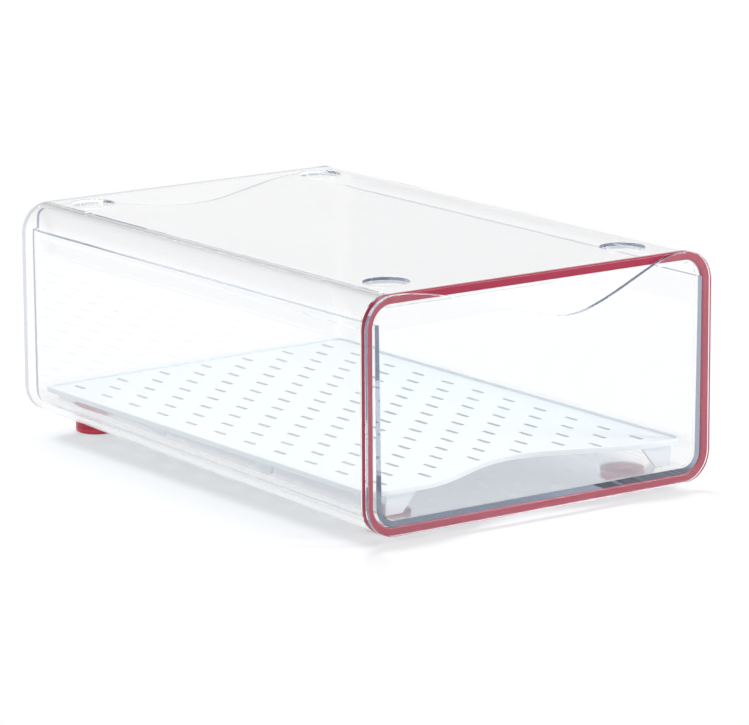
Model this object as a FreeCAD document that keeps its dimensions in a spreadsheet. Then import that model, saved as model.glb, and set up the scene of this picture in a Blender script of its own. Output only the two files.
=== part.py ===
import FreeCAD, Part
import math
import os
import Sketcher

# A clear fridge bin: a housing with a pull-out drawer, a draining tray, a red ring and four feet.
# The frame stands on the floor: +Z is up, the drawer pulls out towards -Y, and the origin lies
# under the middle of the bin.

# Driving sizes in millimetres
SIZES = [
    ("bin_width", 222, "width over the front rim"),
    ("bin_height", 124, "height of the housing's rim and of the drawer's front"),
    ("housing_length", 324.7, "housing, from its rim to its back"),
    ("foot_height", 5, "floor to the underside of the rim"),
    ("corner_radius", 16.5, "long corners of the housing, the ring and the drawer's front"),
    ("back_inset", 1, "how far each side draws in towards the back"),
    ("back_rise", 5.8, "how far the underside rises towards the back"),
    ("back_edge_radius", 2, "rounding round the housing's back"),
    ("wall", 3, "housing's wall"),
    ("rim_step", 1.5, "how much thicker than the wall the rim is"),
    ("rim_depth", 3, "depth of the rim along the housing"),
    ("lip_height", 3.8, "housing's ceiling down to the edge of the stop lip"),
    ("lip_radius", 5.8, "corners of the stop lip"),
    ("lip_tail", 0.6, "straight end of the stop lip below each corner"),
    ("ring_thickness", 2.5, "ring, front to back"),
    ("ring_rounding", 0.7, "rounding of the ring's front edges"),
    ("seal_gap", 0.3, "ring to the closed drawer's front"),
    ("recess_depth", 1.6, "stacking recess"),
    ("recess_clearance", 0.3, "foot to the wall of a stacking recess"),
    ("recess_rounding", 0.4, "upper edge of a stacking recess"),
    ("foot_diameter", 23.4, "foot"),
    ("foot_rounding", 1.6, "lower edge of a foot"),
    ("foot_from_side", 34.5, "side of the bin to a foot's centre"),
    ("foot_from_rim", 26.5, "housing's rim to a front foot's centre"),
    ("foot_from_back", 22.1, "housing's back to a back foot's centre"),
    ("pad_margin", 1.3, "foot pad beyond the foot"),
    ("pad_drop", 0.4, "foot pad below the housing's underside"),
    ("pad_overlap", 1.5, "foot pad up into the housing's wall"),
    ("stem_diameter", 10, "stem of a foot"),
    ("stem_length", 2.2, "stem of a foot"),
    ("stem_clearance", 0.05, "stem to its socket, all round and above"),
    ("panel_thickness", 2.5, "drawer's front"),
    ("panel_rounding", 0.4, "front edge of the drawer's front"),
    ("drawer_side_gap", 1, "drawer to the rim at each side"),
    ("drawer_floor_gap", 0.3, "drawer to the rim's sill, and to the housing's floor at the back"),
    ("drawer_back_gap", 1.2, "drawer to the housing's back wall"),
    ("drawer_lip_gap", 0.8, "drawer's side walls to the stop lip"),
    ("drawer_wall", 2.5, "drawer's side walls at their top, and its back wall"),
    ("drawer_floor", 3.3, "drawer's floor"),
    ("drawer_draft", 0.6, "how far each side wall leans in towards the floor"),
    ("drawer_core_draft", 0.8, "how much thicker each side wall gets towards the floor"),
    ("drawer_corner_radius", 11.5, "drawer's long lower corners"),
    ("drawer_back_radius", 5, "drawer's back corners"),
    ("drawer_edge_rounding", 0.7, "upper edges of the drawer's side walls"),
    ("back_wall_gap", 1.5, "drawer's back wall to the housing's ceiling"),
    ("back_wall_rounding", 4, "upper corners of the raised back wall"),
    ("pull_depth", 23.9, "depth of the pull cut-out"),
    ("pull_trough", 17, "cut-out's lowest point, right of the middle"),
    ("pull_left", 92, "cut-out's left end"),
    ("pull_right", 88, "cut-out's right end"),
    ("pull_left_lead", 36, "reach of the left flank's bend at its end"),
    ("pull_left_trail", 24, "reach of the left flank's bend at the lowest point"),
    ("pull_right_trail", 22, "reach of the right flank's bend at the lowest point"),
    ("pull_right_lead", 14, "reach of the right flank's bend at its end"),
    ("wave_depth", 9.5, "depth of the back wall's wave"),
    ("wave_trough", 2, "wave's lowest point, right of the middle"),
    ("wave_left", 88, "wave's left end"),
    ("wave_right", 74, "wave's right end"),
    ("wave_bend", 27, "reach of the wave's bends"),
    ("tray_side_gap", 0.6, "tray to the drawer's side walls, at the floor"),
    ("tray_front_gap", 5.5, "tray to the drawer's front"),
    ("tray_back_gap", 3, "tray to the drawer's back wall"),
    ("tray_lift", 12.9, "drawer's floor to the tray's upper face, at the front"),
    ("tray_plate", 1.2, "tray's perforated plate"),
    ("tray_rim_height", 1.6, "tray's rim above its plate"),
    ("tray_rim_width", 1.8, "tray's rim"),
    ("tray_rim_rounding", 0.6, "upper edges of the tray's rim"),
    ("tray_corner_radius", 8.5, "tray's corners"),
    ("scoop_depth", 24, "depth of the scoop in the tray's front edge"),
    ("scoop_trough", 2, "scoop's deepest point, right of the middle"),
    ("scoop_left", 72, "scoop's left end"),
    ("scoop_right", 86, "scoop's right end"),
    ("scoop_bend", 26, "reach of the scoop's bends"),
    ("slot_length", 11, "drain slot, front to back"),
    ("slot_width", 2.7, "drain slot"),
    ("slot_rounding", 1.25, "ends of a drain slot"),
    ("slot_pitch", 27.9, "slot to slot within a column, and across two columns"),
    ("slot_from_front", 20.8, "tray's front edge to the centres of its first slots"),
    ("slot_margin", 2, "least distance from a slot to the tray's rim"),
    ("leg_thickness", 1.5, "tray's legs"),
    ("leg_top", 20, "width of a leg at the tray"),
    ("leg_foot", 10, "width of a leg at the drawer's floor"),
    ("leg_gap", 0.3, "leg to the drawer's floor"),
    ("leg_inset", 3.1, "front or back edge of the tray to a leg's outer face"),
    ("leg_spacing", 101, "between the two middle legs of a side"),
]

doc = FreeCAD.newDocument("fridge_bin")
sizes = doc.addObject("Spreadsheet::Sheet", "sizes")
for row, (name, size, meaning) in enumerate(SIZES, start=1):
    sizes.set(f"A{row}", meaning)
    sizes.set(f"B{row}", str(size))
    sizes.setAlias(f"B{row}", name)
doc.recompute()

# Places worked out from the driving sizes: the housing
HALF_WIDTH = "(sizes.bin_width / 2)"
UNDERSIDE = "sizes.foot_height"
TOP = "(sizes.foot_height + sizes.bin_height)"
CEILING = f"({TOP} - sizes.wall)"
FRONT = "(-(sizes.panel_thickness + sizes.seal_gap + sizes.ring_thickness + sizes.housing_length) / 2)"
RING_FRONT = f"({FRONT} + sizes.panel_thickness + sizes.seal_gap)"
RIM_FRONT = f"({RING_FRONT} + sizes.ring_thickness)"
HOUSING_BACK = f"({RIM_FRONT} + sizes.housing_length)"
RIM_WIDTH = "(sizes.wall + sizes.rim_step)"
RISE = "(sizes.back_rise / sizes.housing_length)"
LIP_EDGE = f"({CEILING} - sizes.lip_height)"
LIP_UNDERSIDE = f"({LIP_EDGE} - sizes.lip_radius - sizes.lip_tail)"

# The drawer
DRAWER_START = f"({FRONT} + sizes.panel_thickness)"
DRAWER_BACK = f"({HOUSING_BACK} - sizes.wall - sizes.drawer_back_gap)"
DRAWER_INNER_BACK = f"({DRAWER_BACK} - sizes.drawer_wall)"
DRAWER_HALF = f"({HALF_WIDTH} - {RIM_WIDTH} - sizes.drawer_side_gap)"
DRAWER_UNDER_FRONT = f"({UNDERSIDE} + {RIM_WIDTH} + sizes.drawer_floor_gap)"
DRAWER_UNDER_BACK = (
    f"({UNDERSIDE} + sizes.wall + {RISE} * ({DRAWER_BACK} - {RIM_FRONT}) + sizes.drawer_floor_gap)"
)
FLOOR_SLOPE = f"(({DRAWER_UNDER_BACK} - {DRAWER_UNDER_FRONT}) / ({DRAWER_BACK} - {DRAWER_START}))"
SIDE_TOP = f"({LIP_UNDERSIDE} - sizes.drawer_lip_gap)"
CORE_LEAN = "(sizes.drawer_draft + sizes.drawer_core_draft)"
BACK_WALL_TOP = f"({CEILING} - sizes.back_wall_gap)"

# The tray
FLOOR_HALF = f"({DRAWER_HALF} - sizes.drawer_wall - {CORE_LEAN})"
LEG_HALF = f"({FLOOR_HALF} - (sizes.drawer_corner_radius - sizes.drawer_floor))"
TRAY_HALF = f"({FLOOR_HALF} - sizes.tray_side_gap)"
TRAY_FRONT = f"({DRAWER_START} + sizes.tray_front_gap)"
TRAY_BACK = f"({DRAWER_INNER_BACK} - sizes.tray_back_gap)"
TRAY_TOP = f"({DRAWER_UNDER_FRONT} + sizes.drawer_floor + sizes.tray_lift)"
TRAY_UNDER = f"({TRAY_TOP} - sizes.tray_plate)"
LEG_ROOT = f"({TRAY_TOP} - sizes.tray_plate / 2)"

# The feet
FOOT_ACROSS = f"({HALF_WIDTH} - sizes.foot_from_side)"
FRONT_FOOT = f"({RIM_FRONT} + sizes.foot_from_rim)"
BACK_FOOT = f"({HOUSING_BACK} - sizes.foot_from_back)"
PAD_RADIUS = "(sizes.foot_diameter / 2 + sizes.pad_margin)"


def value(expression):
    """An expression's present value as a number."""
    return float(sizes.evalExpression(expression))


def pad_underside(foot_place):
    """Height of a foot pad's level underside, just below the housing's lowest point over it."""
    return f"({UNDERSIDE} + {RISE} * ({foot_place} - {PAD_RADIUS} - {RIM_FRONT}) - sizes.pad_drop)"


def drawer_floor_at(place):
    """Height of the drawer's sloping floor at one place along the bin."""
    return f"({DRAWER_UNDER_FRONT} + sizes.drawer_floor + {FLOOR_SLOPE} * ({place} - {DRAWER_START}))"


# Sketching

def new_body(label):
    """An empty body; its label names its file."""
    body = doc.addObject("PartDesign::Body", label)
    body.Label = label
    return body


def origin_plane(body, role):
    """One of the body's own three planes."""
    return next(item for item in body.Origin.OriginFeatures if item.Role == role)


def plane_sketch(body, name, role, height):
    """A sketch on one of the body's own planes, moved along that plane's normal."""
    sketch = body.newObject("Sketcher::SketchObject", name)
    sketch.AttachmentSupport = (origin_plane(body, role), "")
    sketch.MapMode = "FlatFace"
    sketch.setExpression("AttachmentOffset.Base.z", height)
    return sketch


def upright_sketch(body, name, place):
    """A sketch that stands across the bin at one place along Y, seen from the front."""
    return plane_sketch(body, name, "XZ_Plane", f"-({place})")


def level_sketch(body, name, height):
    """A level sketch, seen from above."""
    return plane_sketch(body, name, "XY_Plane", height)


def bind(sketch, constraint, size):
    """Add a constraint whose size follows an expression."""
    index = sketch.addConstraint(constraint)
    name = f"size_{index}"
    sketch.renameConstraint(index, name)
    sketch.setExpression(f"Constraints.{name}", size)


def bind_point(sketch, geometry, point, across, up):
    """Hold a point at two expressions measured from the sketch's origin."""
    bind(sketch, Sketcher.Constraint("DistanceX", -1, 1, geometry, point, value(across)), across)
    bind(sketch, Sketcher.Constraint("DistanceY", -1, 1, geometry, point, value(up)), up)


def angle_of(vector):
    """Direction of a flat vector, anticlockwise from the sketch's X axis."""
    return math.atan2(vector.y, vector.x)


def corner_arc(before, corner, after, radius):
    """The arc that rounds a corner, its two tangent points, and whether it turns left."""
    back = (before - corner).normalize()
    ahead = (after - corner).normalize()
    half = back.getAngle(ahead) / 2
    centre = corner + (back + ahead).normalize() * (radius / math.sin(half))
    first = corner + back * (radius / math.tan(half))
    last = corner + ahead * (radius / math.tan(half))
    left = (ahead.x * back.y - ahead.y * back.x) > 0
    start, end = (first, last) if left else (last, first)
    circle = Part.Circle(centre, FreeCAD.Vector(0, 0, 1), radius)
    arc = Part.ArcOfCircle(circle, angle_of(start - centre), angle_of(end - centre))
    return arc, first, last, left


def outline(sketch, corners, closed=True):
    """Straight edges through corners, each given as (across, up) or (across, up, rounding).

    An open outline leaves its first and last corners free, so that a curve can hold them, and
    returns its first and last edges.
    """
    points = [FreeCAD.Vector(value(corner[0]), value(corner[1]), 0) for corner in corners]
    count = len(points)
    edge_count = count if closed else count - 1
    arcs = {}
    for index, corner in enumerate(corners):
        if len(corner) == 3:
            following = points[(index + 1) % count]
            arcs[index] = corner_arc(points[index - 1], points[index], following, value(corner[2]))
    edges = []
    for index in range(edge_count):
        following = (index + 1) % count
        start = arcs[index][2] if index in arcs else points[index]
        end = arcs[following][1] if following in arcs else points[following]
        edges.append(sketch.addGeometry(Part.LineSegment(start, end), False))
    for index, corner in enumerate(corners):
        if not closed and index in (0, count - 1):
            continue
        before = edges[index - 1]
        after = edges[index % edge_count]
        if index not in arcs:
            sketch.addConstraint(Sketcher.Constraint("Coincident", before, 2, after, 1))
            bind_point(sketch, after, 1, corner[0], corner[1])
            continue
        arc, first, last, left = arcs[index]
        bend = sketch.addGeometry(arc, False)
        tip = sketch.addGeometry(Part.Point(points[index]), True)
        sketch.addConstraint(Sketcher.Constraint("Tangent", before, 2, bend, 1 if left else 2))
        sketch.addConstraint(Sketcher.Constraint("Tangent", bend, 2 if left else 1, after, 1))
        sketch.addConstraint(Sketcher.Constraint("PointOnObject", tip, 1, before))
        sketch.addConstraint(Sketcher.Constraint("PointOnObject", tip, 1, after))
        bind_point(sketch, tip, 1, corner[0], corner[1])
        bind(sketch, Sketcher.Constraint("Radius", bend, value(corner[2])), corner[2])
    return edges[0], edges[-1]


def curve(sketch, poles):
    """A cubic curve held by four poles, each given as (across, up)."""
    points = [FreeCAD.Vector(value(across), value(up), 0) for across, up in poles]
    bezier = Part.BSplineCurve()
    bezier.buildFromPolesMultsKnots(points, [4, 4], [0, 1], False, 3)
    geometry = sketch.addGeometry(bezier, False)
    sketch.exposeInternalGeometry(geometry)
    for index, (across, up) in enumerate(poles, start=1):
        bind_point(sketch, geometry + index, 3, across, up)
    return geometry


def wavy_outline(sketch, corners, left, trough, right, reaches):
    """An open outline closed by a wave that leaves its level ends and its trough smoothly.

    The outline runs from the wave's right end round to its left end. The four reaches set how
    far the curve follows the level at the left end, before and behind the trough, and at the
    right end.
    """
    first, last = outline(sketch, [right] + corners + [left], closed=False)
    left_lead, left_trail, right_trail, right_lead = reaches
    falling = curve(sketch, [
        left,
        (f"{left[0]} + {left_lead}", left[1]),
        (f"{trough[0]} - {left_trail}", trough[1]),
        trough,
    ])
    rising = curve(sketch, [
        trough,
        (f"{trough[0]} + {right_trail}", trough[1]),
        (f"{right[0]} - {right_lead}", right[1]),
        right,
    ])
    sketch.addConstraint(Sketcher.Constraint("Coincident", last, 2, falling, 1))
    sketch.addConstraint(Sketcher.Constraint("Coincident", rising, 2, first, 1))


def centred_corners(half, low, high, *radius):
    """Corners of a rectangle about the middle of the bin, rounded if a radius is given."""
    return [
        (f"-{half}", low, *radius),
        (half, low, *radius),
        (half, high, *radius),
        (f"-{half}", high, *radius),
    ]


def circle(sketch, across, up, radius):
    """A circle held at its centre."""
    centre = FreeCAD.Vector(value(across), value(up), 0)
    geometry = sketch.addGeometry(Part.Circle(centre, FreeCAD.Vector(0, 0, 1), value(radius)), False)
    bind_point(sketch, geometry, 3, across, up)
    bind(sketch, Sketcher.Constraint("Radius", geometry, value(radius)), radius)


# Features

def extrude(body, kind, sketch, length, backwards=False):
    """A pad or pocket of one sketch along its normal, or backwards."""
    feature = body.newObject(f"PartDesign::{kind}", f"{sketch.Name}_{kind.lower()}")
    feature.Profile = sketch
    feature.setExpression("Length", length)
    feature.Reversed = backwards
    doc.recompute()
    return feature


def chosen(items, word, wanted):
    """Names of the edges or faces whose bounds pass a test."""
    return [f"{word}{index}" for index, item in enumerate(items, start=1) if wanted(item.BoundBox)]


def round_edges(body, wanted, radius):
    """Round those edges of the body's tip whose bounds pass a test."""
    tip = body.Tip
    fillet = body.newObject("PartDesign::Fillet", f"{tip.Name}_rounded")
    fillet.Base = (tip, chosen(tip.Shape.Edges, "Edge", wanted))
    fillet.setExpression("Radius", radius)
    doc.recompute()
    return fillet


def lean_faces(body, wanted, still, angle, flipped=False):
    """Tilt those faces whose bounds pass a test, about their edges in a face that keeps still."""
    tip = body.Tip
    draft = body.newObject("PartDesign::Draft", f"{tip.Name}_leaning")
    draft.Base = (tip, chosen(tip.Shape.Faces, "Face", wanted))
    draft.NeutralPlane = (tip, chosen(tip.Shape.Faces, "Face", still))
    draft.setExpression("Angle", angle)
    draft.Reversed = flipped
    doc.recompute()
    return draft


def near(number, other):
    """Whether two lengths agree."""
    return abs(number - other) < 0.01


def across_at(bounds, across):
    """Whether an edge or face lies in the plane at one place along X."""
    return near(bounds.XMin, across) and near(bounds.XMax, across)


def along_at(bounds, place):
    """Whether an edge or face lies in the plane at one place along Y."""
    return near(bounds.YMin, place) and near(bounds.YMax, place)


def level_at(bounds, height):
    """Whether an edge or face lies level at one height."""
    return near(bounds.ZMin, height) and near(bounds.ZMax, height)


# Housing: a clear case, open at the front, that narrows and rises a little towards its closed back

def build_housing():
    body = new_body("outer_housing")
    plan = level_sketch(body, "housing_plan", UNDERSIDE)
    outline(plan, centred_corners(HALF_WIDTH, RIM_FRONT, HOUSING_BACK))
    extrude(body, "Pad", plan, "sizes.bin_height")
    front = value(RIM_FRONT)
    underside = value(UNDERSIDE)
    long_run = value("sizes.housing_length / 2")
    rise_angle = "atan(sizes.back_rise / sizes.housing_length)"
    inset_angle = "atan(sizes.back_inset / sizes.housing_length)"
    lean_faces(body, lambda b: level_at(b, underside), lambda b: along_at(b, front), rise_angle)
    lean_faces(body, lambda b: near(b.XLength, 0), lambda b: along_at(b, front), inset_angle)
    round_edges(body, lambda b: b.YLength > long_run, "sizes.corner_radius")

    # Hollow: an even wall all round, with the front left open
    solid = body.Tip
    hollow = body.newObject("PartDesign::Thickness", "housing_hollow")
    hollow.Base = (solid, chosen(solid.Shape.Faces, "Face", lambda b: along_at(b, front)))
    hollow.setExpression("Value", "sizes.wall")
    hollow.Reversed = True
    hollow.Join = 1
    doc.recompute()
    back = value(HOUSING_BACK)
    round_edges(body, lambda b: along_at(b, back), "sizes.back_edge_radius")

    # Rim: a thicker mouth for the ring, with a lip across its top that stops the drawer
    rim = upright_sketch(body, "rim", RIM_FRONT)
    seat = "(sizes.wall / 2)"
    seat_corner = f"(sizes.corner_radius - {seat})"
    seat_half = f"({HALF_WIDTH} - {seat})"
    outline(rim, centred_corners(seat_half, f"{UNDERSIDE} + {seat}", f"{TOP} - {seat}", seat_corner))
    mouth_half = f"({HALF_WIDTH} - {RIM_WIDTH})"
    lip_half = f"({mouth_half} - sizes.rim_step)"
    sill = f"({UNDERSIDE} + {RIM_WIDTH})"
    sill_corner = f"(sizes.corner_radius - {RIM_WIDTH})"
    outline(rim, [
        (f"-{mouth_half}", sill, sill_corner),
        (mouth_half, sill, sill_corner),
        (mouth_half, LIP_UNDERSIDE),
        (lip_half, LIP_UNDERSIDE),
        (lip_half, LIP_EDGE, "sizes.lip_radius"),
        (f"-{lip_half}", LIP_EDGE, "sizes.lip_radius"),
        (f"-{lip_half}", LIP_UNDERSIDE),
        (f"-{mouth_half}", LIP_UNDERSIDE),
    ])
    extrude(body, "Pad", rim, "sizes.rim_depth", backwards=True)

    # Four round recesses in the top for the feet of a bin stacked on this one
    recesses = level_sketch(body, "recesses", TOP)
    recess_radius = "(sizes.foot_diameter / 2 + sizes.recess_clearance)"
    for foot_place in (FRONT_FOOT, BACK_FOOT):
        circle(recesses, f"-{FOOT_ACROSS}", foot_place, recess_radius)
        circle(recesses, FOOT_ACROSS, foot_place, recess_radius)
    extrude(body, "Pocket", recesses, "sizes.recess_depth")
    top = value(TOP)
    widest = value(f"2.1 * {recess_radius}")
    round_edges(
        body,
        lambda b: level_at(b, top) and b.XLength < widest and b.YLength > 1,
        "sizes.recess_rounding",
    )

    # Level pads under the sloping underside, each with a blind socket for a foot's stem
    socket_radius = "(sizes.stem_diameter / 2 + sizes.stem_clearance)"
    for end, foot_place in (("front", FRONT_FOOT), ("back", BACK_FOOT)):
        pads = level_sketch(body, f"{end}_pads", pad_underside(foot_place))
        circle(pads, f"-{FOOT_ACROSS}", foot_place, PAD_RADIUS)
        circle(pads, FOOT_ACROSS, foot_place, PAD_RADIUS)
        extrude(body, "Pad", pads, f"sizes.pad_drop + 2 * {RISE} * {PAD_RADIUS} + sizes.pad_overlap")
    for end, foot_place in (("front", FRONT_FOOT), ("back", BACK_FOOT)):
        sockets = level_sketch(body, f"{end}_sockets", pad_underside(foot_place))
        circle(sockets, f"-{FOOT_ACROSS}", foot_place, socket_radius)
        circle(sockets, FOOT_ACROSS, foot_place, socket_radius)
        extrude(body, "Pocket", sockets, "sizes.stem_length + sizes.stem_clearance", backwards=True)
    return body


# Ring: a flat red band on the housing's rim, as wide as the rim, with its front edges rounded

def build_ring():
    body = new_body("front_seal_ring")
    bead = upright_sketch(body, "bead", RING_FRONT)
    outline(bead, centred_corners(HALF_WIDTH, UNDERSIDE, TOP, "sizes.corner_radius"))
    inner_half = f"({HALF_WIDTH} - {RIM_WIDTH})"
    inner_corner = f"(sizes.corner_radius - {RIM_WIDTH})"
    sill = f"({UNDERSIDE} + {RIM_WIDTH})"
    head = f"({TOP} - {RIM_WIDTH})"
    outline(bead, centred_corners(inner_half, sill, head, inner_corner))
    extrude(body, "Pad", bead, "sizes.ring_thickness", backwards=True)
    front = value(RING_FRONT)
    round_edges(body, lambda b: along_at(b, front), "sizes.ring_rounding")
    return body


# Feet: round red feet with a stem that plugs into the pad above

def build_foot(label, side, foot_place):
    body = new_body(label)
    profile = upright_sketch(body, f"{label}_profile", "0")
    foot_radius = "(sizes.foot_diameter / 2)"
    stem_radius = "(sizes.stem_diameter / 2)"
    shoulder = pad_underside(foot_place)
    outline(profile, [
        ("0", "0"),
        (foot_radius, "0", "sizes.foot_rounding"),
        (foot_radius, shoulder),
        (stem_radius, shoulder),
        (stem_radius, f"{shoulder} + sizes.stem_length"),
        ("0", f"{shoulder} + sizes.stem_length"),
    ])
    turned = body.newObject("PartDesign::Revolution", f"{label}_turned")
    turned.Profile = profile
    turned.ReferenceAxis = (profile, ["V_Axis"])
    turned.Angle = 360
    body.setExpression("Placement.Base.x", f"{side} * {FOOT_ACROSS}")
    body.setExpression("Placement.Base.y", foot_place)
    doc.recompute()
    return body


# Drawer: a clear tub on a flat front panel, whose top edge dips in a wave to pull it by

def build_drawer():
    body = new_body("drawer_bin")
    start = value(DRAWER_START)
    end = value(DRAWER_BACK)
    inner_end = value(DRAWER_INNER_BACK)
    side_top = value(SIDE_TOP)
    under = value(DRAWER_UNDER_FRONT)
    long_run = (end - start) / 2
    tub = level_sketch(body, "tub_plan", DRAWER_UNDER_FRONT)
    outline(tub, centred_corners(DRAWER_HALF, DRAWER_START, DRAWER_BACK))
    extrude(body, "Pad", tub, f"{SIDE_TOP} - {DRAWER_UNDER_FRONT}")
    core = level_sketch(body, "core_plan", SIDE_TOP)
    core_half = f"({DRAWER_HALF} - sizes.drawer_wall)"
    outline(core, centred_corners(core_half, DRAWER_START, DRAWER_INNER_BACK))
    extrude(body, "Pocket", core, f"{SIDE_TOP} - {DRAWER_UNDER_FRONT} - sizes.drawer_floor")

    # The floor rises to the back with the housing's, and the side walls lean in and thicken downwards
    floor_angle = f"atan({FLOOR_SLOPE})"
    wall_height = f"({SIDE_TOP} - {DRAWER_UNDER_FRONT})"
    floor = value(f"{DRAWER_UNDER_FRONT} + sizes.drawer_floor")
    half = value(DRAWER_HALF)
    inner_half = value(core_half)
    lean_faces(body, lambda b: level_at(b, under), lambda b: along_at(b, start), floor_angle)
    lean_faces(
        body, lambda b: level_at(b, floor), lambda b: along_at(b, start), floor_angle, flipped=True
    )
    lean_faces(
        body,
        lambda b: across_at(b, half) or across_at(b, -half),
        lambda b: level_at(b, side_top),
        f"atan(sizes.drawer_draft / {wall_height})",
        flipped=True,
    )
    lean_faces(
        body,
        lambda b: across_at(b, inner_half) or across_at(b, -inner_half),
        lambda b: level_at(b, side_top),
        f"atan({CORE_LEAN} / {wall_height})",
    )
    low = value(f"{DRAWER_UNDER_BACK} + 2 * sizes.drawer_floor")
    round_edges(
        body,
        lambda b: b.YLength > long_run and b.ZMax < low and b.ZMin < floor - 0.01,
        "sizes.drawer_corner_radius",
    )
    round_edges(
        body,
        lambda b: b.YLength > long_run and b.ZMax < low and near(b.ZMin, floor),
        "sizes.drawer_corner_radius - sizes.drawer_floor",
    )
    round_edges(
        body,
        lambda b: along_at(b, end) and not level_at(b, side_top),
        "sizes.drawer_back_radius",
    )
    round_edges(
        body,
        lambda b: along_at(b, inner_end) and not level_at(b, side_top),
        "sizes.drawer_back_radius - sizes.drawer_wall",
    )

    # Between its corners the back wall stands higher than the sides, with a shallow wave in its top
    raised = upright_sketch(body, "raised_wall", DRAWER_INNER_BACK)
    raised_half = f"({DRAWER_HALF} - sizes.drawer_back_radius)"
    root = f"({SIDE_TOP} - sizes.drawer_back_radius)"
    trough = f"({BACK_WALL_TOP} - sizes.wave_depth)"
    wavy_outline(
        raised,
        [
            (raised_half, BACK_WALL_TOP, "sizes.back_wall_rounding"),
            (raised_half, root),
            (f"-{raised_half}", root),
            (f"-{raised_half}", BACK_WALL_TOP, "sizes.back_wall_rounding"),
        ],
        ("-sizes.wave_left", BACK_WALL_TOP),
        ("sizes.wave_trough", trough),
        ("sizes.wave_right", BACK_WALL_TOP),
        ["sizes.wave_bend"] * 4,
    )
    extrude(body, "Pad", raised, "sizes.drawer_wall", backwards=True)

    # Front panel: as large as the rim, with the deeper wave of the pull cut-out
    panel = upright_sketch(body, "panel", FRONT)
    pull_trough = f"({TOP} - sizes.pull_depth)"
    wavy_outline(
        panel,
        [
            (HALF_WIDTH, TOP, "sizes.corner_radius"),
            (HALF_WIDTH, UNDERSIDE, "sizes.corner_radius"),
            (f"-{HALF_WIDTH}", UNDERSIDE, "sizes.corner_radius"),
            (f"-{HALF_WIDTH}", TOP, "sizes.corner_radius"),
        ],
        ("-sizes.pull_left", TOP),
        ("sizes.pull_trough", pull_trough),
        ("sizes.pull_right", TOP),
        ["sizes.pull_left_lead", "sizes.pull_left_trail", "sizes.pull_right_trail", "sizes.pull_right_lead"],
    )
    extrude(body, "Pad", panel, "sizes.panel_thickness", backwards=True)
    front = value(FRONT)
    round_edges(body, lambda b: along_at(b, front), "sizes.panel_rounding")
    round_edges(
        body,
        lambda b: level_at(b, side_top) and b.YLength > long_run,
        "sizes.drawer_edge_rounding",
    )
    return body


# Tray: a perforated plate with a raised rim, a scoop in its front edge to lift it by, and legs

def tray_outline(sketch, inset):
    """The tray's outline, drawn in all round by one distance."""
    half = f"({TRAY_HALF} - {inset})"
    near_edge = f"({TRAY_FRONT} + {inset})"
    far_edge = f"({TRAY_BACK} - {inset})"
    corner = f"(sizes.tray_corner_radius - {inset})"
    wavy_outline(
        sketch,
        [
            (half, near_edge, corner),
            (half, far_edge, corner),
            (f"-{half}", far_edge, corner),
            (f"-{half}", near_edge, corner),
        ],
        ("-sizes.scoop_left", near_edge),
        ("sizes.scoop_trough", f"{near_edge} + sizes.scoop_depth"),
        ("sizes.scoop_right", near_edge),
        ["sizes.scoop_bend"] * 4,
    )


def slot(sketch, across, along):
    """One drain slot about its centre."""
    half_width = "sizes.slot_width / 2"
    half_length = "sizes.slot_length / 2"
    outline(sketch, [
        (f"{across} - {half_width}", f"{along} - {half_length}", "sizes.slot_rounding"),
        (f"{across} + {half_width}", f"{along} - {half_length}", "sizes.slot_rounding"),
        (f"{across} + {half_width}", f"{along} + {half_length}", "sizes.slot_rounding"),
        (f"{across} - {half_width}", f"{along} + {half_length}", "sizes.slot_rounding"),
    ])


def leg(sketch, top_start, top_end, foot_start, foot_end):
    """One tapering leg in a side of the tray, from inside the plate down to the drawer's floor."""
    outline(sketch, [
        (foot_start, f"({drawer_floor_at(foot_start)} + sizes.leg_gap)"),
        (foot_end, f"({drawer_floor_at(foot_end)} + sizes.leg_gap)"),
        (top_end, LEG_ROOT),
        (top_start, LEG_ROOT),
    ])


def slot_rows(body, name, columns_each_side, first_row):
    """Equal rows of slots: one pocket repeated across the tray and towards its back."""
    clear_back = f"({TRAY_BACK} - sizes.tray_rim_width - sizes.slot_margin - sizes.slot_length / 2)"
    sketch = level_sketch(body, name, TRAY_TOP)
    slot(sketch, f"-({columns_each_side}) * sizes.slot_pitch", first_row)
    pocket = extrude(body, "Pocket", sketch, "sizes.tray_plate + sizes.slot_width")
    rows = body.newObject("PartDesign::LinearPattern", f"{name}_rows")
    rows.Originals = [pocket]
    rows.Direction = (sketch, ["H_Axis"])
    rows.Mode = "Spacing"
    rows.setExpression("Offset", "sizes.slot_pitch")
    rows.setExpression("Occurrences", f"2 * ({columns_each_side}) + 1")
    rows.Direction2 = (sketch, ["V_Axis"])
    rows.Mode2 = "Spacing"
    rows.setExpression("Offset2", "sizes.slot_pitch")
    rows.setExpression("Occurrences2", f"floor(({clear_back} - ({first_row})) / sizes.slot_pitch) + 1")
    body.Tip = rows
    doc.recompute()

    # A spacing of -1 is the common one; FreeCAD starts the first row's at 0, on top of the pocket
    rows.Spacings2 = [-1] * (rows.Occurrences2 - 1)
    doc.recompute()
    return rows


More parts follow.
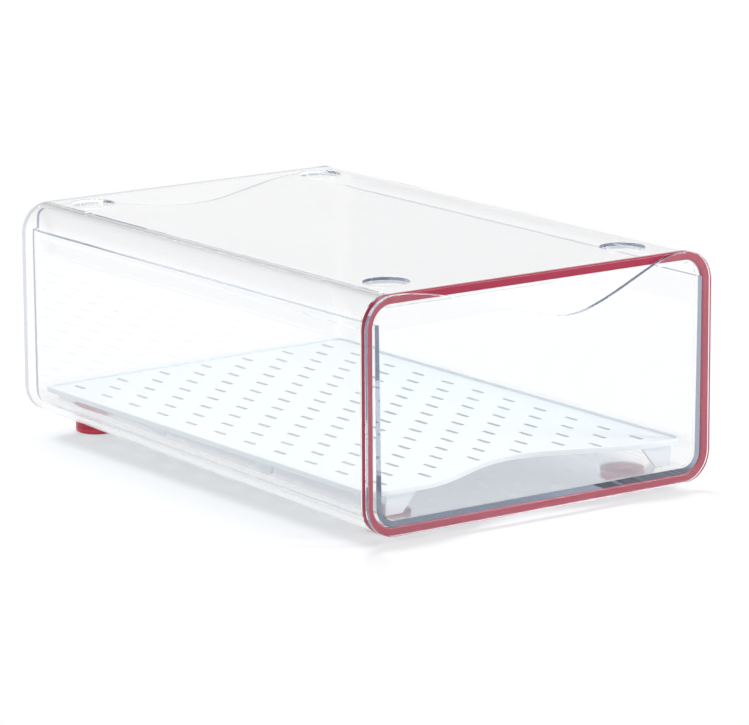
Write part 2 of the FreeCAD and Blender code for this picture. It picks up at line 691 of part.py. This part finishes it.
def build_tray():
    body = new_body("draining_tray")
    slab = level_sketch(body, "tray_slab", TRAY_UNDER)
    tray_outline(slab, "0")
    extrude(body, "Pad", slab, "sizes.tray_plate + sizes.tray_rim_height")
    well = level_sketch(body, "tray_well", f"{TRAY_TOP} + sizes.tray_rim_height")
    tray_outline(well, "sizes.tray_rim_width")
    extrude(body, "Pocket", well, "sizes.tray_rim_height")
    rim_top = value(f"{TRAY_TOP} + sizes.tray_rim_height")
    round_edges(body, lambda b: level_at(b, rim_top), "sizes.tray_rim_rounding")

    # Slots: full columns either side of the middle one, and columns between them half a pitch on
    clear_side = f"({TRAY_HALF} - sizes.tray_rim_width - sizes.slot_margin - sizes.slot_width / 2)"
    full = f"floor({clear_side} / sizes.slot_pitch)"
    between = f"(floor({clear_side} / sizes.slot_pitch + 0.5) - 0.5)"
    first_row = f"({TRAY_FRONT} + sizes.slot_from_front)"
    slot_rows(body, "full_columns", full, f"{first_row} + sizes.slot_pitch")
    slot_rows(body, "columns_between", between, f"{first_row} + sizes.slot_pitch / 2")

    # The first row has only the slots that the scoop leaves room for
    corners = level_sketch(body, "first_slots", TRAY_TOP)
    reach = value("sizes.scoop_left - sizes.slot_pitch")
    for column in range(1, round(value(full)) + 1):
        if value(f"{column} * sizes.slot_pitch") > reach:
            slot(corners, f"{column} * sizes.slot_pitch", first_row)
            slot(corners, f"-{column} * sizes.slot_pitch", first_row)
    extrude(body, "Pocket", corners, "sizes.tray_plate + sizes.slot_width")

    # Legs along one side and at both ends, tapering to feet on the level part of the drawer's floor
    side_legs = plane_sketch(body, "side_legs", "YZ_Plane", f"{LEG_HALF} - sizes.leg_thickness")
    front_corner = f"({TRAY_FRONT} + sizes.tray_corner_radius)"
    leg(
        side_legs,
        front_corner,
        f"({front_corner} + sizes.leg_top)",
        front_corner,
        f"({front_corner} + sizes.leg_foot)",
    )
    back_corner = f"({TRAY_BACK} - sizes.tray_corner_radius)"
    leg(
        side_legs,
        f"({back_corner} - sizes.leg_top)",
        back_corner,
        f"({back_corner} - sizes.leg_foot)",
        back_corner,
    )
    for side in (-1, 1):
        middle = f"(({TRAY_FRONT} + {TRAY_BACK} + {side} * sizes.leg_spacing) / 2)"
        leg(
            side_legs,
            f"({middle} - sizes.leg_top / 2)",
            f"({middle} + sizes.leg_top / 2)",
            f"({middle} - sizes.leg_foot / 2)",
            f"({middle} + sizes.leg_foot / 2)",
        )
    pads = [extrude(body, "Pad", side_legs, "sizes.leg_thickness")]
    side_corner = f"({TRAY_HALF} - sizes.tray_corner_radius)"
    front_place = f"({TRAY_FRONT} + sizes.leg_inset)"
    back_place = f"({TRAY_BACK} - sizes.leg_inset - sizes.leg_thickness)"
    for end, place in (("front", front_place), ("back", back_place)):
        end_leg = upright_sketch(body, f"{end}_leg", place)
        foot_height = f"({drawer_floor_at(f'({place} + sizes.leg_thickness)')} + sizes.leg_gap)"
        outline(end_leg, [
            (side_corner, foot_height),
            (side_corner, LEG_ROOT),
            (f"{side_corner} - sizes.leg_top", LEG_ROOT),
            (f"{side_corner} - sizes.leg_foot", foot_height),
        ])
        pads.append(extrude(body, "Pad", end_leg, "sizes.leg_thickness", backwards=True))
    other_side = body.newObject("PartDesign::Mirrored", "legs_of_the_other_side")
    other_side.Originals = pads
    other_side.MirrorPlane = (origin_plane(body, "YZ_Plane"), [""])
    body.Tip = other_side
    doc.recompute()
    return body


# Build every piece, check it and write it under its own name

pieces = [build_housing(), build_ring()]
for end, foot_place in (("front", FRONT_FOOT), ("back", BACK_FOOT)):
    for hand, side in (("left", -1), ("right", 1)):
        pieces.append(build_foot(f"foot_{end}_{hand}", side, foot_place))
pieces.append(build_drawer())
pieces.append(build_tray())
doc.recompute()
for item in doc.Objects:
    if "Invalid" in item.State or "Error" in item.State:
        raise RuntimeError(f"{item.Label} could not be built: {item.State}")
os.makedirs("parts", exist_ok=True)
for piece in pieces:
    shape = piece.Shape
    if shape.isNull() or not shape.isValid() or len(shape.Solids) != 1:
        raise RuntimeError(f"{piece.Label} is not one valid solid")
    shape.exportStep(f"parts/{piece.Label}.step")
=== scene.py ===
import math

import bpy
from mathutils import Matrix, Vector

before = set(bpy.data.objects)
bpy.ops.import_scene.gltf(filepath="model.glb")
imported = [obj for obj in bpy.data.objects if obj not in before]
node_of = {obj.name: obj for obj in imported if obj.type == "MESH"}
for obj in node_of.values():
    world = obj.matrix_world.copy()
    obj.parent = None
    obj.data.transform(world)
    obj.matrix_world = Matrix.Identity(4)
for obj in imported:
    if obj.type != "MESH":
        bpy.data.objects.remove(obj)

scene = bpy.context.scene
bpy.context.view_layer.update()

# Viewpoint: the bin seen from its front left and a little above, through a long lens that hardly
# narrows it towards the back. Angles and place were fitted to the photograph's outline.
lens_mm = 224.9
camera_place = (-1.4365, -2.0133, 0.5947)
view_azimuth = math.radians(35.732)
view_pitch = math.radians(12.34)
view_roll = math.radians(-0.267)
ahead = Vector((
    math.sin(view_azimuth) * math.cos(view_pitch),
    math.cos(view_azimuth) * math.cos(view_pitch),
    -math.sin(view_pitch),
))
level_right = Vector((math.cos(view_azimuth), -math.sin(view_azimuth), 0))
upright = level_right.cross(ahead)
right = math.cos(view_roll) * level_right + math.sin(view_roll) * upright
up = math.cos(view_roll) * upright - math.sin(view_roll) * level_right
camera = bpy.data.objects.new("camera", bpy.data.cameras.new("camera"))
camera.data.sensor_width = 36
camera.data.lens = lens_mm
camera.data.clip_start = 0.1
camera.data.clip_end = 50
turn = Matrix((right, up, -ahead)).transposed().to_4x4()
camera.matrix_world = Matrix.Translation(camera_place) @ turn
scene.collection.objects.link(camera)
scene.camera = camera

# Outer housing: the bin's casing, one moulding of clear acrylic, bright as glass, with a faint cool
# tint that only shows where the eye looks along a wall. Slow ripples from the moulding bend what
# is seen through it.
acrylic_tint = "#B2BAC4"
acrylic_density = 4.5


def linear(colour):
    """The linear red, green and blue of an sRGB hex colour."""
    parts = [int(colour[i:i + 2], 16) / 255 for i in (1, 3, 5)]
    return [c / 12.92 if c <= 0.04045 else ((c + 0.055) / 1.055) ** 2.4 for c in parts]


def add(tree, kind, settings=None, **inputs):
    """Adds one shader node with its settings. An input is a value or another node's output, and is
    named by its label or, after an underscore, by its number."""
    node = tree.nodes.new(kind)
    for name, setting in (settings or {}).items():
        setattr(node, name, setting)
    for name, given in inputs.items():
        key = int(name[1:]) if name[0] == "_" else name.replace("_", " ")
        socket = node.inputs[key]
        if isinstance(given, bpy.types.NodeSocket):
            tree.links.new(given, socket)
        else:
            socket.default_value = given
    return node


def new_material(name):
    """An empty node material and its tree with an output."""
    made = bpy.data.materials.new(name)
    made.use_nodes = True
    made.node_tree.nodes.clear()
    return made, made.node_tree, made.node_tree.nodes.new("ShaderNodeOutputMaterial")


def per_mm(length):
    """Scale of a pattern on Object coordinates, in metres, whose grain is this many millimetres."""
    return 1000 / length


def clear_acrylic(name, tint, density):
    """Clear moulded plastic that lamps and soft light pass straight. A ray that its walls have
    trapped leaves them after a few turns, with the blue-grey of its long way along the wall."""
    ripple_mm, polish_mm = 70, 18
    turns_before_leaving = 8
    made, tree, output = new_material(name)
    place = add(tree, "ShaderNodeTexCoord").outputs["Object"]
    ripple = add(tree, "ShaderNodeTexNoise", Vector=place, Scale=per_mm(ripple_mm), Detail=1.0)
    polish = add(tree, "ShaderNodeTexNoise", Vector=place, Scale=per_mm(polish_mm), Detail=2.0)
    roughness = add(
        tree, "ShaderNodeMapRange", Value=polish.outputs["Fac"], To_Min=0.0, To_Max=0.02
    )
    bump = add(
        tree, "ShaderNodeBump", Height=ripple.outputs["Fac"], Strength=0.03, Distance=0.004
    )
    plastic = add(
        tree,
        "ShaderNodeBsdfPrincipled",
        Base_Color=(*linear("#FFFFFF"), 1),
        Roughness=roughness.outputs["Result"],
        IOR=1.49,
        Transmission_Weight=1.0,
        Normal=bump.outputs["Normal"],
    )
    path = add(tree, "ShaderNodeLightPath").outputs
    trapped = add(
        tree,
        "ShaderNodeMath",
        {"operation": "GREATER_THAN"},
        _0=path["Ray Depth"],
        _1=turns_before_leaving,
    )
    leaving = add(tree, "ShaderNodeBsdfTransparent", Color=(*linear("#E0E3E9"), 1))
    wall = add(
        tree,
        "ShaderNodeMixShader",
        _0=trapped.outputs["Value"],
        _1=plastic.outputs["BSDF"],
        _2=leaving.outputs["BSDF"],
    )
    soft = add(
        tree,
        "ShaderNodeMath",
        {"operation": "MAXIMUM"},
        _0=path["Is Shadow Ray"],
        _1=path["Is Diffuse Ray"],
    )
    passing = add(tree, "ShaderNodeBsdfTransparent", Color=(*linear("#FCFDFE"), 1))
    lit_wall = add(
        tree,
        "ShaderNodeMixShader",
        _0=soft.outputs["Value"],
        _1=wall.outputs["Shader"],
        _2=passing.outputs["BSDF"],
    )
    body = add(tree, "ShaderNodeVolumeAbsorption", Color=(*linear(tint), 1), Density=density)
    tree.links.new(lit_wall.outputs["Shader"], output.inputs["Surface"])
    tree.links.new(body.outputs["Volume"], output.inputs["Volume"])
    return made


def dress(node, made):
    """Gives one carried-over part its material."""
    for slot in node_of[node].material_slots:
        slot.material = made


housing_acrylic = clear_acrylic("clear acrylic, housing, moulded", acrylic_tint, acrylic_density)
dress("outer_housing", housing_acrylic)

# Drawer: an open box with a wavy front and back, a second moulding of the same clear acrylic. It
# slides in the housing with nothing between them.
drawer_acrylic = clear_acrylic("clear acrylic, drawer, moulded", acrylic_tint, acrylic_density)
dress("drawer_bin", drawer_acrylic)

# Front ring: a flat band of soft red plastic on the housing's rim, which closes the gap to the
# drawer's front. Moulded, with a silky gloss, and seen through the drawer's clear front.


def clear_red(name, colour, shine, clearness, density):
    """Red elastomer that light goes a little way into: deep red through its thick parts, pink at
    its thin ones. Shine is its mean roughness, which the fine grain of the mould varies."""
    grain_mm = 1.5
    spread = 0.03
    made, tree, output = new_material(name)
    place = add(tree, "ShaderNodeTexCoord").outputs["Object"]
    grain = add(tree, "ShaderNodeTexNoise", Vector=place, Scale=per_mm(grain_mm), Detail=3.0)
    roughness = add(
        tree,
        "ShaderNodeMapRange",
        Value=grain.outputs["Fac"],
        To_Min=shine - spread,
        To_Max=shine + spread,
    )
    bump = add(
        tree, "ShaderNodeBump", Height=grain.outputs["Fac"], Strength=0.05, Distance=0.0002
    )
    rubber = add(
        tree,
        "ShaderNodeBsdfPrincipled",
        Base_Color=(*linear(colour), 1),
        Roughness=roughness.outputs["Result"],
        IOR=1.5,
        Transmission_Weight=clearness,
        Normal=bump.outputs["Normal"],
    )
    body = add(tree, "ShaderNodeVolumeAbsorption", Color=(*linear("#F01238"), 1), Density=density)
    tree.links.new(rubber.outputs["BSDF"], output.inputs["Surface"])
    tree.links.new(body.outputs["Volume"], output.inputs["Volume"])
    return made


ring_red = clear_red("red elastomer, ring, moulded", "#AC0A3E", 0.3, 0.2, 60.0)
dress("front_seal_ring", ring_red)

# Feet: four round plugs of the same red plastic, clearer than the ring, pushed into sockets under
# the housing.
foot_red = clear_red("red elastomer, feet, moulded", "#D8144A", 0.1, 0.55, 70.0)
for foot in ("foot_front_left", "foot_front_right", "foot_back_left", "foot_back_right"):
    dress(foot, foot_red)

# Draining tray: a thin plate with rows of slots, a low rim and legs, which lies loose in the drawer.
# White polypropylene, moulded and satin, and thin enough to let some light through.
tray_grain_mm = 2
light_share_through = 0.3
tray_white, tree, output = new_material("white polypropylene, tray, moulded")
place = add(tree, "ShaderNodeTexCoord").outputs["Object"]
grain = add(tree, "ShaderNodeTexNoise", Vector=place, Scale=per_mm(tray_grain_mm), Detail=3.0)
shade = add(
    tree,
    "ShaderNodeMapRange",
    Value=grain.outputs["Fac"],
    To_Min=0.3,
    To_Max=0.42,
)
bump = add(tree, "ShaderNodeBump", Height=grain.outputs["Fac"], Strength=0.05, Distance=0.0002)
plastic = add(
    tree,
    "ShaderNodeBsdfPrincipled",
    Base_Color=(*linear("#F8FCFD"), 1),
    Roughness=shade.outputs["Result"],
    IOR=1.49,
    Normal=bump.outputs["Normal"],
)
through = add(tree, "ShaderNodeBsdfTranslucent", Color=(*linear("#F6FAFC"), 1))
thin = add(
    tree,
    "ShaderNodeMixShader",
    _0=light_share_through,
    _1=plastic.outputs["BSDF"],
    _2=through.outputs["BSDF"],
)
tree.links.new(thin.outputs["Shader"], output.inputs["Surface"])
dress("draining_tray", tray_white)

# Stage: a pale matte floor that keeps the bin's shadow and turns to plain white away from it, for
# the eye, and also where it is seen through a wall or mirrored in one.
floor_half = 4.0
white_near_bin = 0.5
white_through_walls = 0.8
white_in_mirrors = 0.72
floor_mesh = bpy.data.meshes.new("floor")
floor_mesh.from_pydata(
    [(x, y, 0) for x, y in ((-floor_half, -floor_half), (floor_half, -floor_half),
                            (floor_half, floor_half), (-floor_half, floor_half))],
    [],
    [(0, 1, 2, 3)],
)
floor = bpy.data.objects.new("floor", floor_mesh)
scene.collection.objects.link(floor)
floor_white, tree, output = new_material("white card, matte")
paper = add(tree, "ShaderNodeBsdfDiffuse", Color=(*linear("#F4F4F5"), 1))
glow = add(tree, "ShaderNodeEmission", Color=(1, 1, 1, 1), Strength=1.0)
rays = add(tree, "ShaderNodeLightPath").outputs
spot = add(tree, "ShaderNodeTexCoord").outputs["Object"]
distance = add(tree, "ShaderNodeVectorMath", {"operation": "LENGTH"}, _0=spot).outputs["Value"]
fading = add(
    tree,
    "ShaderNodeMapRange",
    {"interpolation_type": "SMOOTHSTEP"},
    Value=distance,
    From_Min=0.2,
    From_Max=0.6,
    To_Min=white_near_bin,
    To_Max=1.0,
)
straight = add(
    tree,
    "ShaderNodeMath",
    {"operation": "MULTIPLY"},
    _0=rays["Is Camera Ray"],
    _1=fading.outputs["Result"],
)
through = add(
    tree,
    "ShaderNodeMath",
    {"operation": "MULTIPLY"},
    _0=rays["Is Transmission Ray"],
    _1=white_through_walls,
)
mirrored = add(
    tree,
    "ShaderNodeMath",
    {"operation": "MULTIPLY"},
    _0=rays["Is Glossy Ray"],
    _1=white_in_mirrors,
)
lift = add(
    tree,
    "ShaderNodeMath",
    {"operation": "MAXIMUM"},
    _0=through.outputs["Value"],
    _1=mirrored.outputs["Value"],
)
lift = add(
    tree,
    "ShaderNodeMath",
    {"operation": "MAXIMUM"},
    _0=straight.outputs["Value"],
    _1=lift.outputs["Value"],
)
lifted = add(
    tree,
    "ShaderNodeMixShader",
    _0=lift.outputs["Value"],
    _1=paper.outputs["BSDF"],
    _2=glow.outputs["Emission"],
)
tree.links.new(lifted.outputs["Shader"], output.inputs["Surface"])
floor_mesh.materials.append(floor_white)

# Light: an even white room, a soft panel high behind the bin, and a tall strip at its front right.
# The backdrop is white at the eye's height and greyer above, which the tops of the walls mirror.
room_strength = 0.6
world = bpy.data.worlds.new("white studio")
scene.world = world
world.use_nodes = True
tree = world.node_tree
tree.nodes.clear()
rays = add(tree, "ShaderNodeLightPath").outputs
seen = add(
    tree,
    "ShaderNodeMath",
    {"operation": "MAXIMUM"},
    _0=rays["Is Camera Ray"],
    _1=rays["Is Transmission Ray"],
)
seen = add(
    tree, "ShaderNodeMath", {"operation": "MAXIMUM"}, _0=seen.outputs[0], _1=rays["Is Glossy Ray"]
)
room = add(tree, "ShaderNodeBackground", Color=(1, 1, 1, 1), Strength=room_strength)
heading = add(tree, "ShaderNodeTexCoord").outputs["Generated"]
height = add(tree, "ShaderNodeSeparateXYZ", Vector=heading).outputs["Z"]
above_screen = add(
    tree, "ShaderNodeMapRange", Value=height, From_Min=0.12, From_Max=0.42, To_Min=1.0, To_Max=0.4
)
backdrop = add(
    tree, "ShaderNodeBackground", Color=(1, 1, 1, 1), Strength=above_screen.outputs["Result"]
)
sky = add(
    tree, "ShaderNodeMixShader", _0=seen.outputs[0], _1=room.outputs[0], _2=backdrop.outputs[0]
)
tree.links.new(sky.outputs[0], add(tree, "ShaderNodeOutputWorld").inputs["Surface"])


def panel_lamp(name, size, place, watts):
    """A soft panel that faces the middle of the bin."""
    middle = Vector((0, 0, 0.06))
    lamp = bpy.data.objects.new(name, bpy.data.lights.new(name, "AREA"))
    lamp.data.shape = "RECTANGLE"
    lamp.data.size, lamp.data.size_y = size
    lamp.data.energy = watts
    aim = middle - Vector(place)
    lamp.rotation_euler = aim.to_track_quat("-Z", "Y").to_euler()
    lamp.location = place
    scene.collection.objects.link(lamp)


panel_lamp("back panel", (0.7, 0.7), (0.35, 0.95, 1.75), 27.0)
panel_lamp("front strip", (0.3, 1.4), (1.2, -1.45, 0.85), 20.0)

scene.view_settings.view_transform = "Standard"
scene.cycles.max_bounces = 32
scene.cycles.transmission_bounces = 32
scene.cycles.glossy_bounces = 12
scene.cycles.transparent_max_bounces = 40
